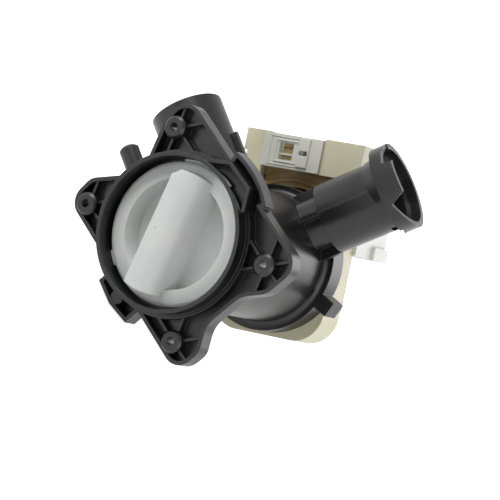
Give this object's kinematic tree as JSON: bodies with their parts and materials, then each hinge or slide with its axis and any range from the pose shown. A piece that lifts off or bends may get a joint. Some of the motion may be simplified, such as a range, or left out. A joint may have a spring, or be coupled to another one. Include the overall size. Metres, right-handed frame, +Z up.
{
  "type": "washer drain pump",
  "caption": "Drain pump for a washing machine: flanged filter housing with turn-out cap and hose spigots, and a canned-rotor motor behind it.",
  "frame": {"origin": "centre of the rectangle of the four flange holes, on the front faces of their bosses", "axes": "+Y along the pump axis from the filter cap to the motor, +Z up, +X to the right seen from the cap"},
  "size_m": [0.1187, 0.1526, 0.1188],
  "materials": {
    "housing_black": "moulded, satin",
    "cap_grey": "moulded, satin",
    "basket_grey": "moulded",
    "seal_rubber": "matt",
    "impeller_plastic": "moulded",
    "dog_plastic": "moulded",
    "shaft_steel": "ground",
    "magnet_ferrite": "sintered ferrite",
    "bearing_bronze": "sintered",
    "washer_plastic": "moulded",
    "can_black": "moulded",
    "motor_cream": "moulded, satin",
    "core_steel": "stacked sheets",
    "rivet_steel": "plain",
    "bobbin_plastic": "moulded",
    "winding_tape": "taped copper winding",
    "cover_white": "moulded, satin",
    "connector_white": "moulded",
    "blade_tin": "tinned",
    "valve_plastic": "moulded",
    "flap_rubber": "matt",
    "pin_steel": "ground"
  },
  "bodies": {
    "housing": {"pump_housing": "housing_black", "rotor_can": "can_black", "body_seal": "seal_rubber", "front_bearing": "bearing_bronze", "rear_bearing": "bearing_bronze", "front_bearing_mount": "seal_rubber", "rear_bearing_mount": "seal_rubber", "motor_housing": "motor_cream", "stator_core": "core_steel", "core_rivets": "rivet_steel", "coil_bobbin_left": "bobbin_plastic", "coil_bobbin_right": "bobbin_plastic", "coil_winding_left": "winding_tape", "coil_winding_right": "winding_tape", "rear_cover": "cover_white", "connector_block": "connector_white", "terminal_blades": "blade_tin", "valve_seat": "valve_plastic", "valve_pin": "pin_steel"},
    "rotor": {"rotor_shaft": "shaft_steel", "rotor_hub": "dog_plastic", "rotor_magnet": "magnet_ferrite", "thrust_washer": "washer_plastic", "drive_dog": "dog_plastic"},
    "impeller": {"impeller": "impeller_plastic", "lash_buffers": "seal_rubber"},
    "cap": {"filter_cap": "cap_grey", "cap_seal": "seal_rubber", "filter_basket": "basket_grey"},
    "flap": {"valve_flap": "flap_rubber"}
  },
  "joints": [
    {"name": "rotor_spin", "type": "hinge", "parent": "housing", "child": "rotor", "pos_m": [0, 0.1, 0], "axis": [0, 1, 0], "continuous": true},
    {"name": "impeller_lash", "type": "hinge", "parent": "rotor", "child": "impeller", "pos_m": [0, 0.08, 0], "axis": [0, 1, 0], "range_deg": [-122, 122]},
    {"name": "cap_turn", "type": "hinge", "parent": "housing", "child": "cap", "pos_m": [0, 0.01, 0], "axis": [0, -1, 0], "range_deg": [0, 90]},
    {"name": "valve_flap", "type": "hinge", "parent": "housing", "child": "flap", "pos_m": [0.01035, 0.09304, 0.04808], "axis": [-0.9646, 0, 0.2639], "range_deg": [0, 55]}
  ]
}
